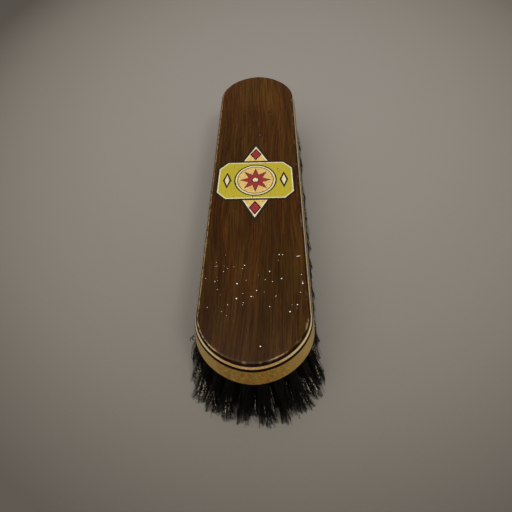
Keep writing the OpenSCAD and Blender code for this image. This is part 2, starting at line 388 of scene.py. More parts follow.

# %% [markdown]
# ## Walnut under varnish
#
# The rounded rim is painted darker and redder as it turns down from the flat top, a painted
# shade that follows the surface's normal. The colour is painted lighter towards the far end,
# a painted sheen. The varnish is satin on the flat and glossier on the rim, where hands polish it.

# %% Walnut
def walnut_material():
    material, tree = new_material("walnut_worn_varnish")
    place = add(tree, "TexCoord").outputs["Object"]
    grain, fibre, band = walnut_grain(tree, place)
    edge, rub_through_and_highlight, worn = walnut_wear(tree, place)
    # Painted shade: the colour is darkened and reddened as the surface's normal turns from straight
    # up, on the rounded rim.
    normal = add(tree, "NewGeometry").outputs["Normal"]
    facing = add(tree, "SeparateXYZ", {0: normal}).outputs["Z"]
    rim = add(tree, "ValToRGB", {"Fac": facing},
              [(0.2, "#8a6450"), (0.75, "#b49a8c"), (0.97, "#ffffff")])
    rim_painted_shade = add(tree, "Mix", {FACTOR: 1.0, COLOUR_A: grain, COLOUR_B: rim.outputs[0]},
                 data_type="RGBA", blend_type="MULTIPLY")
    # Painted sheen: the colour is scaled up towards the far end, to nearly twice as light there.
    along = add(tree, "SeparateXYZ", {0: place}).outputs["Y"]
    length = add(tree, "MapRange", {"Value": along, "From Min": -0.09, "From Max": 0.09})
    growing = add(tree, "Math", {0: length.outputs[0], 1: 2.0}, operation="POWER")
    far_sheen = add(tree, "Math", {0: growing.outputs[0], 1: 0.9, 2: 0.97}, operation="MULTIPLY_ADD")
    far_sheened = add(tree, "VectorMath", {0: rim_painted_shade.outputs[MIXED], "Scale": far_sheen.outputs[0]},
               operation="SCALE")
    colour = add(tree, "Mix", {
        # The pale colour is worn wood and, along the crest and at the raised spots, partly a painted
        # highlight.
        FACTOR: worn, COLOUR_A: far_sheened.outputs[0], COLOUR_B: linear("#b2946a")}, data_type="RGBA")
    matt = add(tree, "MapRange", {"Value": band, "To Min": 0.26, "To Max": 0.36})
    gloss = add(tree, "MapRange", {"Value": edge, "To Min": matt.outputs[0], "To Max": 0.12})
    rough = add(tree, "Math", {0: rub_through_and_highlight, 1: 0.4, 2: gloss.outputs[0]}, operation="MULTIPLY_ADD")
    bump = add(tree, "Bump", {"Height": fibre, "Strength": 0.1, "Distance": 0.0002})
    shader = add(tree, "BsdfPrincipled", {
        "Base Color": colour.outputs[MIXED], "Roughness": rough.outputs[0], "IOR": 1.5,
        "Specular IOR Level": 0.13, "Normal": bump.outputs[0]})
    add(tree, "OutputMaterial", {"Surface": shader.outputs[0]})
    return material


walnut = walnut_material()
print("made", walnut.name)

# %% [markdown]
# ## Light and dark wood for the block
#
# The stock is a pale hardwood such as beech, gone amber under old varnish, with blotches
# where the varnish is thick and small dark flecks of ray tissue. Above it run a line of
# nearly black dyed veneer and a line of pale veneer. The sides are painted paler than the two
# rounded ends, a painted light on the side walls. The three differ in
# colour and fleck only, so one recipe with other values serves them all.

# %% Stock and veneer lines
def plain_wood(name, tones, blotch, worn, side, shine):
    """Close-grained wood under varnish. Blotch, worn edge and side are a colour and its share; side
    is painted light, the worn edge partly painted highlight.
    """
    material, tree = new_material(name)
    place = add(tree, "TexCoord").outputs["Object"]
    grain_map = add(tree, "Mapping", {"Vector": place, "Scale": per(0.8, 14, 0.5)})
    grain = add(tree, "TexNoise", {"Vector": grain_map.outputs[0], "Scale": 1.0, "Detail": 4.0})
    wood = add(tree, "ValToRGB", {"Fac": grain.outputs[0]}, list(zip((0.36, 0.5, 0.64), tones)))
    blot_map = add(tree, "Mapping", {"Vector": place, "Scale": per(2.4, 2.4, 2.4)})
    blot = add(tree, "TexNoise", {
        "Vector": blot_map.outputs[0], "Scale": 1.0, "Detail": 3.0, "Roughness": 0.6})
    blots = add(tree, "ValToRGB", {"Fac": blot.outputs[0]}, [(0.47, 0.0), (0.62, blotch[1])])
    blotched = add(tree, "Mix", {
        FACTOR: blots.outputs[0], COLOUR_A: wood.outputs[0], COLOUR_B: linear(blotch[0])},
        data_type="RGBA")
    fleck_map = add(tree, "Mapping", {"Vector": place, "Scale": per(1.1, 1.6, 0.9)})
    fleck = add(tree, "TexVoronoi", {"Vector": fleck_map.outputs[0], "Scale": 1.0})
    flecks = add(tree, "ValToRGB", {"Fac": fleck.outputs["Distance"]}, [(0.08, 0.45), (0.2, 1.0)])
    flecked = add(tree, "Mix", {
        FACTOR: 0.5, COLOUR_A: blotched.outputs[MIXED], COLOUR_B: flecks.outputs[0]},
        data_type="RGBA", blend_type="MULTIPLY")
    # Painted light: away from the middle, the side walls are painted paler than the rounded ends.
    across = add(tree, "SeparateXYZ", {0: place}).outputs["X"]
    off_middle = add(tree, "Math", {0: across}, operation="ABSOLUTE")
    turned = add(tree, "MapRange", {
        "Value": off_middle.outputs[0], "From Min": 0.01, "From Max": 0.025, "To Max": side[1]})
    side_painted_light = add(tree, "Mix", {
        FACTOR: turned.outputs[0], COLOUR_A: flecked.outputs[MIXED], COLOUR_B: linear(side[0])},
        data_type="RGBA")
    # Edges are painted paler: worn varnish, and partly a painted highlight.
    edge = add(tree, "Attribute", attribute_name="edge").outputs["Fac"]
    edge_wear_and_highlight = add(tree, "Math", {0: edge, 1: worn[1]}, operation="MULTIPLY")
    colour = add(tree, "Mix", {
        FACTOR: edge_wear_and_highlight.outputs[0], COLOUR_A: side_painted_light.outputs[MIXED], COLOUR_B: linear(worn[0])},
        data_type="RGBA")
    bump = add(tree, "Bump", {"Height": blot.outputs[0], "Strength": 0.1, "Distance": 0.0004})
    shader = add(tree, "BsdfPrincipled", {
        "Base Color": colour.outputs[MIXED], "Roughness": 0.3, "IOR": 1.5,
        "Specular IOR Level": shine, "Normal": bump.outputs[0]})
    add(tree, "OutputMaterial", {"Surface": shader.outputs[0]})
    return material


# Each side colour is painted light on the side walls, and each worn colour is edge wear and partly a
# painted highlight.
beech = plain_wood("amber_varnished_beech", ("#6b4d10", "#8d6a1a", "#ae8b30"),
                   blotch=("#854b0b", 0.8), worn=("#93793f", 0.8), side=("#d0a74f", 0.6),
                   shine=0.22)
dark_veneer = plain_wood("dark_dyed_veneer", ("#100200", "#170400", "#200801"),
                         blotch=("#0d0200", 0.5), worn=("#240d04", 0.3), side=("#170400", 0.0),
                         shine=0.04)
pale_veneer = plain_wood("pale_veneer", ("#aa8750", "#bb975f", "#cba972"),
                         blotch=("#a67d42", 0.5), worn=("#cdb483", 0.4), side=("#f7dfa6", 1.0),
                         shine=0.25)
print("made", beech.name, dark_veneer.name, pale_veneer.name)

# %% [markdown]
# ## The stock
#
# The stock's wall and its slightly rounded edges are a loft. Its lower face is flat with a
# hole for each knot. Cutting 259 holes with booleans is slow and leaves poor triangles, so
# the face is triangulated once, with the outline and every hole as fixed edges, and the
# triangles inside the holes are dropped. A short wall then runs up each hole.

# %% Build the stock
HOLE_STEPS, HOLE_DEPTH = 20, 4.0
INSIDE_HOLE = 0.97 * KNOT_R  # a triangle whose middle is nearer than this lies in a hole
EDGE_R, SEAM_R = 0.35, 0.12
FLAT_CREASE, LINE_CREASE = math.radians(35), math.radians(50)


def stock_mesh():
    """The wall, the top, the drilled lower face and a short wall up each hole."""
    vertices, faces, edge = loft(rounded(0.0, TRIM, -STOCK_LEAN, DARK_Z, EDGE_R, SEAM_R))
    faces += ladder(len(vertices) - RING, RING, up=True)
    flat = [(x, y) for x, y, _ in vertices[:RING]]
    fixed = [(i, (i + 1) % RING) for i in range(RING)]
    for root, _ in all_knots:
        start = len(flat)
        for i in range(HOLE_STEPS):
            a = 2 * math.pi * i / HOLE_STEPS
            flat.append((root[0] + KNOT_R * math.cos(a), root[1] + KNOT_R * math.sin(a)))
            fixed.append((start + i, start + (i + 1) % HOLE_STEPS))
    corners, _, triangles, origin, _, _ = delaunay_2d_cdt(flat, fixed, [], 0, 1e-5)
    old = [group[0] for group in origin]
    centres = np.array([root[:2] for root, _ in all_knots])
    for triangle in triangles:
        middle = np.mean([corners[i] for i in triangle], axis=0)
        if np.min(np.linalg.norm(centres - middle, axis=1)) > INSIDE_HOLE:
            places = [old[i] + (len(vertices) - RING if old[i] >= RING else 0) for i in triangle]
            faces.append(places[::-1])
    rim_start = len(vertices)
    vertices += [(x, y, TRIM) for x, y in flat[RING:]]
    floor_start = len(vertices)
    for k, (root, tip) in enumerate(all_knots):
        lean = [(root[i] - tip[i]) * HOLE_DEPTH / TRIM for i in (0, 1)]
        ring = vertices[rim_start + k * HOLE_STEPS:rim_start + (k + 1) * HOLE_STEPS]
        vertices += [(x + lean[0], y + lean[1], TRIM + HOLE_DEPTH) for x, y, _ in ring]
        low, high = rim_start + k * HOLE_STEPS, floor_start + k * HOLE_STEPS
        for i in range(HOLE_STEPS):
            j = (i + 1) % HOLE_STEPS
            faces.append([low + j, low + i, high + i, high + j])
        faces.append([high + i for i in range(HOLE_STEPS)][::-1])
    edge += [0.0] * (len(vertices) - len(edge))
    return vertices, faces, edge


vertices, faces, edge = stock_mesh()
stock = new_piece("varnished_stock", vertices, faces, {"edge": edge})
stock.data.set_sharp_from_angle(angle=FLAT_CREASE)
stock.data.materials.append(beech)
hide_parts("stock_board")
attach(stock, "root")
print("stock of", len(faces), "faces")

# %% [markdown]
# ## The two lines
#
# The dark and the pale line are thin layers with barely rounded edges. The rounding is a
# tenth of a millimetre, and it is what draws the fine seam between two layers of wood.

# %% Build the dark and the pale line
LINES = (
    ("dark_veneer_line", "dark_line", "dark_line_wood", dark_veneer,
     (DARK_OUT, DARK_Z), (PALE_OUT, PALE_Z)),
    ("pale_veneer_line", "pale_line", "pale_line_wood", pale_veneer,
     (PALE_OUT, PALE_Z), (BACK_OUT, BACK_Z)),
)
for name, node, slot, material, low, high in LINES:
    vertices, faces, edge = loft(rounded(*low, *high, SEAM_R, SEAM_R, steps=2))
    faces += lids(vertices)
    line = new_piece(name, vertices, faces, {"edge": edge})
    line.data.set_sharp_from_angle(angle=LINE_CREASE)
    line.data.materials.append(material)
    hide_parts(node)
    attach(line, "root")
    print("made", name)

# %% [markdown]
# ## The walnut back
#
# The back has a flat top and a rim rounded by a quarter of an ellipse. Where the curve
# leaves the flat top the varnish is rubbed through in places, and the light catches it as a
# thin broken line. The edge value peaks there. It is higher along the left side and at two
# scuffs, where a hand or a box has rubbed most, and there its pale colour is also a painted
# highlight of that line.

# %% Build the walnut back
RIM_STEPS, BACK_SEAM, TOP_LIP = 12, 0.1, 0.5
CREST, CREST_SPREAD, CREST_WAVE = 70, 18, 0.14  # degrees round the rim, and millimetres
SCUFFS_AND_HIGHLIGHTS = ((22.5, -75.6, 2.6), (10.2, -89.3, 3.4))  # place and size
LEFT_RUB_AND_HIGHLIGHT, LEFT_RUB_AND_HIGHLIGHT_FROM, LEFT_RUB_AND_HIGHLIGHT_OVER = 0.8, 8.0, 8.0


def back_levels():
    """Levels of the back: a fine seam, a short wall, the rim's curve and a lip of the flat top."""
    wall_top, rise = BACK_Z + BACK_EDGE, BACK_T - BACK_EDGE
    levels = [(BACK_OUT - BACK_SEAM, BACK_Z, 0.0), (BACK_OUT, BACK_Z + BACK_SEAM, 0.0),
              (BACK_OUT, wall_top, 0.0)]
    for i in range(1, RIM_STEPS + 1):
        degrees = 90 * i / RIM_STEPS
        a = math.radians(degrees)
        crest = math.exp(-((degrees - CREST) / CREST_SPREAD) ** 2)
        out, height = BACK_OUT - RIM_W * (1 - math.cos(a)), wall_top + rise * math.sin(a)
        levels.append((out, height, crest, crest * CREST_WAVE))
    levels.append((BACK_OUT - RIM_W - TOP_LIP, TOP_Z, 0.0))
    return levels


vertices, faces, edge = loft(back_levels())
# Painted highlight: at the two spots and along the left the edge value, and with it the pale colour,
# is raised, partly for rubbed wood.
for i, (x, y, _) in enumerate(vertices):
    scuff_and_highlight = max(math.exp(-((x - a) ** 2 + (y - b) ** 2) / size ** 2) for a, b, size in SCUFFS_AND_HIGHLIGHTS)
    left_rub_and_highlight = LEFT_RUB_AND_HIGHLIGHT * min(max((-x - LEFT_RUB_AND_HIGHLIGHT_FROM) / LEFT_RUB_AND_HIGHLIGHT_OVER, 0), 1)
    edge[i] *= 1 + max(scuff_and_highlight, left_rub_and_highlight)
faces += lids(vertices)
back = new_piece("walnut_back_board", vertices, faces, {"edge": edge})
back.data.set_sharp_from_angle(angle=LINE_CREASE)
back.data.materials.append(walnut)
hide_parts("walnut_back")
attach(back, "root")
print("walnut back of", len(faces), "faces")

# %% [markdown]
# ## Printing inks
#
# A transfer is ink on a film, slid onto the wood and varnished over. Old ink is mottled half
# a millimetre across, it has yellowed in spots, and in thin flakes it has come off and shows
# the dark wood. Five colours differ only in their two tones, so one recipe makes them all.

# %% Inks
def ink(name, colour, faded):
    """Printed ink under varnish, mottled, with the wood's fibres showing through."""
    material, tree = new_material(name)
    place = add(tree, "TexCoord").outputs["Object"]
    mottle_map = add(tree, "Mapping", {"Vector": place, "Scale": per(0.5, 0.6, 1)})
    mottle = add(tree, "TexNoise", {
        "Vector": mottle_map.outputs[0], "Scale": 1.0, "Detail": 3.0, "Roughness": 0.7})
    fades = add(tree, "ValToRGB", {"Fac": mottle.outputs[0]}, [(0.38, 0.0), (0.6, 0.85)])
    printed = add(tree, "Mix", {
        FACTOR: fades.outputs[0], COLOUR_A: linear(colour), COLOUR_B: linear(faded)},
        data_type="RGBA")
    chip_map = add(tree, "Mapping", {"Vector": place, "Scale": per(0.5, 2.2, 1)})
    chip = add(tree, "TexNoise", {"Vector": chip_map.outputs[0], "Scale": 1.0, "Detail": 4.0})
    chips = add(tree, "ValToRGB", {"Fac": chip.outputs[0]}, [(0.66, 0.0), (0.7, 0.85)])
    worn = add(tree, "Mix", {
        FACTOR: chips.outputs[0], COLOUR_A: printed.outputs[MIXED], COLOUR_B: linear("#3a2512")},
        data_type="RGBA")
    fibre_map = add(tree, "Mapping", {"Vector": place, "Scale": per(0.5, 12, 1)})
    fibre = add(tree, "TexNoise", {"Vector": fibre_map.outputs[0], "Scale": 1.0, "Detail": 3.0})
    bump = add(tree, "Bump", {"Height": fibre.outputs[0], "Strength": 0.15, "Distance": 0.0002})
    shader = add(tree, "BsdfPrincipled", {
        "Base Color": worn.outputs[MIXED], "Roughness": 0.32, "IOR": 1.5,
        "Specular IOR Level": 0.25, "Normal": bump.outputs[0]})
    add(tree, "OutputMaterial", {"Surface": shader.outputs[0]})
    return material


BLACK, CREAM, GREEN, STRAW, RED = range(5)
inks = [
    ink("ink_black", "#15120d", "#2a2218"),
    ink("ink_cream", "#e2d9b4", "#c4b07a"),
    ink("ink_yellow_green", "#a3a826", "#b68d2c"),
    ink("ink_straw", "#dcc07a", "#b98f42"),
    ink("ink_red", "#84202b", "#9a3534"),
]
print("inks:", [one.name for one in inks])

# %% [markdown]
# ## The transfer's outlines
#
# The design is a plain ornament: a star in a medallion, on a panel with clipped corners, over
# a lozenge. Every shape is a closed outline in millimetres. A border is the same outline moved
# in, and the outlines run anticlockwise, so that inwards is always on the left.

# %% Outlines
TRANSFER_T = 0.1
TRANSFER_Y = FACE_L / 2 - 90
PANEL_L, PANEL_MARGIN, PANEL_CLIP = 27.0, 1.0, 5.0
LOZENGE_L, LOZENGE_W = 54.0, 30.0


def panel_half(y):
    """Half the panel's width at y. Its sides keep a margin from the rim, so they taper too."""
    taper = (FAR_W - NEAR_W) / 2 * (y - NEAR_Y) / (FAR_Y - NEAR_Y)
    return NEAR_W / 2 + taper + BACK_OUT - RIM_W - PANEL_MARGIN


def inset(shape, distance):
    """A convex shape with every edge moved in by a distance."""
    made = []
    for i, point in enumerate(shape):
        before, after = np.array(shape[i - 1]), np.array(shape[(i + 1) % len(shape)])
        one, two = np.array(point) - before, after - np.array(point)
        one, two = one / np.linalg.norm(one), two / np.linalg.norm(two)
        half = (one[0] * two[1] - one[1] * two[0], 1 + one @ two)
        slide = distance * math.tan(math.atan2(half[0], half[1] - 1) / 2)
        made.append(tuple(np.array(point) + np.array((-one[1], one[0])) * distance - one * slide))
    return made


def circle(radius, steps=48, y=TRANSFER_Y):
    turns = [2 * math.pi * i / steps for i in range(steps)]
    return [(radius * math.cos(a), y + radius * math.sin(a)) for a in turns]


def star(points, outer, inner):
    turned = [(r, math.pi * i / points) for i, r in enumerate([outer, inner] * points)]
    return [(r * math.sin(a), TRANSFER_Y + r * math.cos(a)) for r, a in turned][::-1]


def diamond(x, y, half_w, half_l):
    return [(x - half_w, y), (x, y - half_l), (x + half_w, y), (x, y + half_l)]


low_y, high_y = TRANSFER_Y - PANEL_L / 2, TRANSFER_Y + PANEL_L / 2
right = [(panel_half(low_y) - PANEL_CLIP, low_y), (panel_half(low_y), low_y + PANEL_CLIP),
         (panel_half(high_y), high_y - PANEL_CLIP), (panel_half(high_y) - PANEL_CLIP, high_y)]
panel = right + [(-x, y) for x, y in right[::-1]]
lozenge = diamond(0.0, TRANSFER_Y, LOZENGE_W / 2, LOZENGE_L / 2)
prints = [
    (lozenge, BLACK), (inset(lozenge, 1.2), CREAM), (inset(lozenge, 1.9), STRAW),
    (panel, BLACK), (inset(panel, 1.1), CREAM), (inset(panel, 1.7), GREEN),
    (circle(10.8), BLACK), (circle(10.1), CREAM), (circle(9.3), BLACK), (circle(8.9), STRAW),
    (star(8, 8.2, 3.9), BLACK), (star(8, 7.3, 3.5), RED),
    (circle(1.9), BLACK), (circle(1.4), CREAM),
]
for sign in (-1, 1):
    prints.append((diamond(sign * 14.4, TRANSFER_Y, 2.2, 5.6), BLACK))
    prints.append((diamond(sign * 14.4, TRANSFER_Y, 1.2, 3.6), CREAM))
    prints.append((diamond(0.0, TRANSFER_Y + sign * 18.4, 3.0, 4.4), BLACK))
    prints.append((diamond(0.0, TRANSFER_Y + sign * 18.4, 2.2, 3.3), RED))
print(len(prints), "shapes to print")

# %% [markdown]
# ## Cutting the transfer
#
# Printed shapes have hard edges, so they are cut as real faces rather than painted. Every
# outline goes into one triangulation, and each triangle takes the ink of the topmost shape
# over it. A second layer of faces below and a thin wall round the edge make it a closed film.

# %% Cut and print the transfer
def inside(point, shape):
    """Whether a point lies in a polygon, by counting the edges to its right."""
    (x, y), crossings = point, 0
    for (x1, y1), (x2, y2) in zip(shape, shape[1:] + shape[:1]):
        if (y1 > y) != (y2 > y) and x < x1 + (y - y1) * (x2 - x1) / (y2 - y1):
            crossings += 1
    return crossings % 2 == 1


def transfer_mesh():
    """The film's vertices and faces, and the number of each face's ink."""
    flat, fixed = [], []
    for shape, _ in prints:
        start = len(flat)
        flat += shape
        fixed += [(start + i, start + (i + 1) % len(shape)) for i in range(len(shape))]
    corners, _, triangles, _, _, _ = delaunay_2d_cdt(flat, fixed, [], 0, 1e-6)
    count = len(corners)
    vertices = [(x, y, z) for z in (TOP_Z + TRANSFER_T, TOP_Z) for x, y in corners]
    faces, colours, used = [], [], {}
    for triangle in triangles:
        middle = np.mean([corners[i] for i in triangle], axis=0)
        over = [colour for shape, colour in prints if inside(middle, shape)]
        if not over:
            continue
        faces.append(list(triangle))
        faces.append([i + count for i in triangle[::-1]])
        colours += [over[-1], over[-1]]
        for i, j in zip(triangle, triangle[1:] + triangle[:1]):
            used[(i, j)] = over[-1]
    for (i, j), colour in used.items():
        if (j, i) not in used:
            faces.append([j, i, i + count, j + count])
            colours.append(colour)
    kept = sorted({i for face in faces for i in face})
    new = {old: i for i, old in enumerate(kept)}
    return [vertices[i] for i in kept], [[new[i] for i in face] for face in faces], colours


vertices, faces, colours = transfer_mesh()
transfer = new_piece("printed_transfer", vertices, faces, smooth=False)
for one in inks:
    transfer.data.materials.append(one)
transfer.data.polygons.foreach_set("material_index", colours)
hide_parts("transfer")
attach(transfer, "root")
print("transfer of", len(faces), "faces")

# %% [markdown]
# ## Dried polish
#
# A used brush carries small flecks of dried polish and a scratch or two on its back. They
# lie on the varnish as tiny flat drops, so each is a real, very low dome. Painted spots would
# be quicker, but they would catch no light on their sides.

# %% A fleck and its finish
def fleck_material():
    """Dried cream polish: chalky and matt, in crumbs of a third of a millimetre."""
    material, tree = new_material("dried_cream_polish")
    place = add(tree, "TexCoord").outputs["Object"]
    crumb_map = add(tree, "Mapping", {"Vector": place, "Scale": per(0.3, 0.3, 0.3)})
    crumb = add(tree, "TexNoise", {"Vector": crumb_map.outputs[0], "Scale": 1.0, "Detail": 2.0})
    tone = add(tree, "ValToRGB", {"Fac": crumb.outputs[0]}, [(0.35, "#e6dabf"), (0.55, "#fffcf4")])
    shader = add(tree, "BsdfPrincipled", {"Base Color": tone.outputs[0], "Roughness": 0.75})
    add(tree, "OutputMaterial", {"Surface": shader.outputs[0]})
    return material


DROP_H, DROP_SIDES = 0.07, 8
DROP_RINGS = ((1.0, 0.0), (0.6, 0.8))  # share of the drop's size, and of its height


def drop(centre, half_l, half_w, turn):
    """A low dome: a rim on the board, a smaller ring above it and a top."""
    made, cosine, sine = [], math.cos(turn), math.sin(turn)
    for scale, rise in DROP_RINGS:
        for i in range(DROP_SIDES):
            a = 2 * math.pi * i / DROP_SIDES
            x, y = half_l * scale * math.cos(a), half_w * scale * math.sin(a)
            made.append((centre[0] + x * cosine - y * sine, centre[1] + x * sine + y * cosine,
                         TOP_Z + DROP_H * rise))
    made.append((*centre, TOP_Z + DROP_H))
    after = [(i + 1) % DROP_SIDES for i in range(DROP_SIDES)]
    wall = [[i, j, DROP_SIDES + j, DROP_SIDES + i] for i, j in enumerate(after)]
    top = [[DROP_SIDES + i, DROP_SIDES + j, 2 * DROP_SIDES] for i, j in enumerate(after)]
    return made, wall + top + [list(range(DROP_SIDES))[::-1]]


print("a fleck has", len(drop((0.0, 0.0), 1.0, 1.0, 0.0)[1]), "faces")

# %% [markdown]
# ## Strewing the flecks
#
# The larger flecks lie where the photograph shows them, over the half where the hand holds
# the brush. They were read off an enlargement of the photograph, and the tables hold
# those readings. Three places are held in the same pixels but weren't read there: two were
# set between others, and the last large one was added later. `on_back` goes from a
# reading along the camera's own ray down to the board, so that a fleck sits on it from any
# side. The other flecks are random. The random numbers are seeded, so that every run strews
# them alike.

# %% Strew the flecks
READ_FROM, READ_STEP = (195, 225), 120 / 1568  # the enlargement's corner, and its pixel
READ_Z = 44.5  # the transfer's face, a tenth of a millimetre above the walnut
PHOTO_PIXELS = 512
LARGE = ((1100, 385), (1143, 385), (648, 525), (975, 605), (1130, 698), (1407, 759), (550, 765),
         (805, 855), (733, 933), (540, 960), (1340, 1038), (1243, 1130), (854, 1585))
MIDDLING = ((425, 567), (373, 605), (620, 567), (920, 710), (1012, 738), (1392, 645),
            (1403, 733), (292, 842), (632, 1012), (160, 1077), (345, 1130), (410, 1183),
            (258, 738), (138, 698), (975, 1065), (1055, 935), (622, 893), (1380, 880),
            (425, 1040))
LARGE_R, MIDDLING_R, SMALL_R, SMALL_MORE, SPARE_R = 0.33, 0.2, 0.11, 0.06, 0.12
SMALL_COUNT, HELD_X, HELD_Y = 18, (-19, 19), (-71, -41)
SPARE_COUNT, SPARE_X, SPARE_Y = 3, (-14, 14), (36, 80)  # a few on the far half
SCRATCH = (1350, 403)
SCRATCH_L, SCRATCH_W, SCRATCH_TURN = 1.0, 0.15, 0.22  # half length, half width and turn


def on_back(reading):
    """The place on the board that a reading shows, to a tenth of a millimetre."""
    across, down = (start + at * READ_STEP for start, at in zip(READ_FROM, reading))
    focal = PHOTO_PIXELS * camera.data.lens / camera.data.sensor_width
    seen = ((across - PHOTO_PIXELS / 2) / focal, (PHOTO_PIXELS / 2 - down) / focal, -1.0)
    ray = np.array(camera.rotation_euler.to_matrix()) @ np.array(seen)
    stand = np.array(camera.location) / MM
    hit = stand + ray * (READ_Z - stand[2]) / ray[2]
    return round(float(hit[0]), 1), round(float(hit[1]), 1)


draw = np.random.default_rng(11)
flecks_v, flecks_f, spots = [], [], []
for places, mean in ((LARGE, LARGE_R), (MIDDLING, MIDDLING_R)):
    for reading in places:
        half = mean * draw.uniform(0.85, 1.15)
        spots.append((on_back(reading), half, half * draw.uniform(0.75, 1), draw.uniform(0, math.pi)))
for _ in range(SMALL_COUNT):
    half = SMALL_R + SMALL_MORE * draw.uniform()
    at = (draw.uniform(*HELD_X), draw.uniform(*HELD_Y))
    spots.append((at, half, half * draw.uniform(0.6, 1), draw.uniform(0, math.pi)))
for _ in range(SPARE_COUNT):
    spots.append(((draw.uniform(*SPARE_X), draw.uniform(*SPARE_Y)), SPARE_R, SPARE_R, 0.0))
spots.append((on_back(SCRATCH), SCRATCH_L, SCRATCH_W, SCRATCH_TURN))
for spot in spots:
    made, made_faces = drop(*spot)
    flecks_f += [[i + len(flecks_v) for i in face] for face in made_faces]
    flecks_v += made
flecks = new_piece("dried_polish_flecks", flecks_v, flecks_f)
flecks.data.materials.append(fleck_material())
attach(flecks, "root")
print(len(spots), "flecks")

# %% [markdown]
# ## Horsehair's finish
#
# Horsehair is nearly black and glossy, with lengthwise streaks where dust dulls it. A few
# hairs in every bunch carry painted glints: pale dashes near the tip, painted where light
# would glint off them. Which hairs glint, and from where, is kept in the mesh as a value.

# %% Horsehair material
def horsehair_material():
    material, tree = new_material("black_horsehair")
    shade = add(tree, "Attribute", attribute_name="shade").outputs["Color"]
    place = add(tree, "TexCoord").outputs["Object"]
    streak_map = add(tree, "Mapping", {"Vector": place, "Scale": per(0.5, 0.5, 6)})
    streak = add(tree, "TexNoise", {"Vector": streak_map.outputs[0], "Scale": 1.0, "Detail": 2.0})
    light = add(tree, "ValToRGB", {"Fac": streak.outputs[0]}, [(0.3, 0.4), (0.7, 1.0)])
    colour = add(tree, "Mix", {FACTOR: 1.0, COLOUR_A: shade, COLOUR_B: light.outputs[0]},
                 data_type="RGBA", blend_type="MULTIPLY")
    # Painted glints: pale dashes near the tips of the hairs marked to glint.
    dash_map = add(tree, "Mapping", {"Vector": place, "Scale": per(0.8, 0.8, 1.4)})
    dash = add(tree, "TexNoise", {"Vector": dash_map.outputs[0], "Scale": 1.0, "Detail": 1.0})
    dashes = add(tree, "ValToRGB", {"Fac": dash.outputs[0]}, [(0.45, 0.0), (0.54, 1.0)])
    painted_glint = add(tree, "Attribute", attribute_name="painted_glint").outputs["Fac"]
    pale = add(tree, "Math", {0: painted_glint, 1: dashes.outputs[0]}, operation="MULTIPLY")
    flecked = add(tree, "Mix", {
        FACTOR: pale.outputs[0], COLOUR_A: colour.outputs[MIXED], COLOUR_B: linear("#efe3c2")},
        data_type="RGBA")
    shader = add(tree, "BsdfPrincipled", {
        "Base Color": flecked.outputs[MIXED], "Roughness": 0.3, "IOR": 1.55,
        "Specular IOR Level": 0.13})
    add(tree, "OutputMaterial", {"Surface": shader.outputs[0]})
    return material


horsehair = horsehair_material()
print("made", horsehair.name)

# %% [markdown]
# ## Hairs and locks
#
# Horsehair is about 0.2 mm thick, and a knot holds some 200 hairs. Here a knot has somewhat
# fewer, a little thicker, which covers the same. Within a knot the hairs gather in locks of a
# dozen or so, each with its own place and length at the end, which splits the bristles into
# points as wear does. A few loose hairs belong to no lock.

# %% Gather hairs in locks
HAIRS, LOCKS = 165, 12
LOCK_SPREAD, LOOSE, PULL = 0.95, 0.07, (0.84, 0.98)
LOCK_SHORT, HAIR_SHORT = 2.2, 0.3
LONG_HAIRS, LONG_SHORT = 0.4, 0.2  # share of hairs that stop less short, and how much less


def gather(draw):
    """Where hairs start and end across a knot of radius 1, and the number of each one's lock."""
    spread = np.sqrt(draw.uniform(0, 1, HAIRS))
    turn = draw.uniform(0, 2 * math.pi, HAIRS)
    start = np.stack([spread * np.cos(turn), spread * np.sin(turn)], 1)
    lock = draw.integers(0, LOCKS, HAIRS)
    lock_r = np.sqrt(draw.uniform(0.05, 1, LOCKS)) * LOCK_SPREAD
    lock_turn = (np.arange(LOCKS) + draw.uniform(0, 1)) * 2 * math.pi / LOCKS
    lock_at = np.stack([lock_r * np.cos(lock_turn), lock_r * np.sin(lock_turn)], 1)
    loose = draw.uniform(0, 1, HAIRS) < LOOSE
    pull = np.where(loose, 0.0, draw.uniform(*PULL, HAIRS))[:, None]
    end = start * (1 - pull) + lock_at[lock] * pull + draw.normal(0, 0.05, (HAIRS, 2))
    end[loose] *= draw.uniform(0.9, 1.25, (int(loose.sum()), 1))
    return start, end, lock


def shortness(draw, lock):
    """How far each hair stops short of the floor, in millimetres. Some hairs nearly reach it."""
    lock_short = draw.uniform(0, LOCK_SHORT, LOCKS)
    short = lock_short[lock] + np.abs(draw.normal(0, HAIR_SHORT, HAIRS))
    short[draw.uniform(0, 1, HAIRS) < LONG_HAIRS] *= LONG_SHORT
    return short


print(HAIRS * len(all_knots), "hairs in", LOCKS * len(all_knots), "locks")

# %% [markdown]
# ## The splay of a knot
#
# A new brush's bristles stand straight. Use spreads them: a knot widens towards its tip, more
# along the brush's edge than outwards, and the outer rows fan out further. At the wide end,
# where the brush is pushed, they flare a little more, and near the middle of each end the
# tips draw together.

# %% Splay a knot
ROOT_R, END_R = 1.65, 4.3
SIDEWAYS, OUTWARD, OUTWARD_NEAR = 1.3, 0.6, 0.5
FAN, FLARE = 3.4, 1.2
END_FROM, END_OVER = 55, 20  # where an end of the brush begins, and how far it takes to be one
PINCH, PINCH_W = 0.3, 8  # share and width of the drawing together at an end's middle


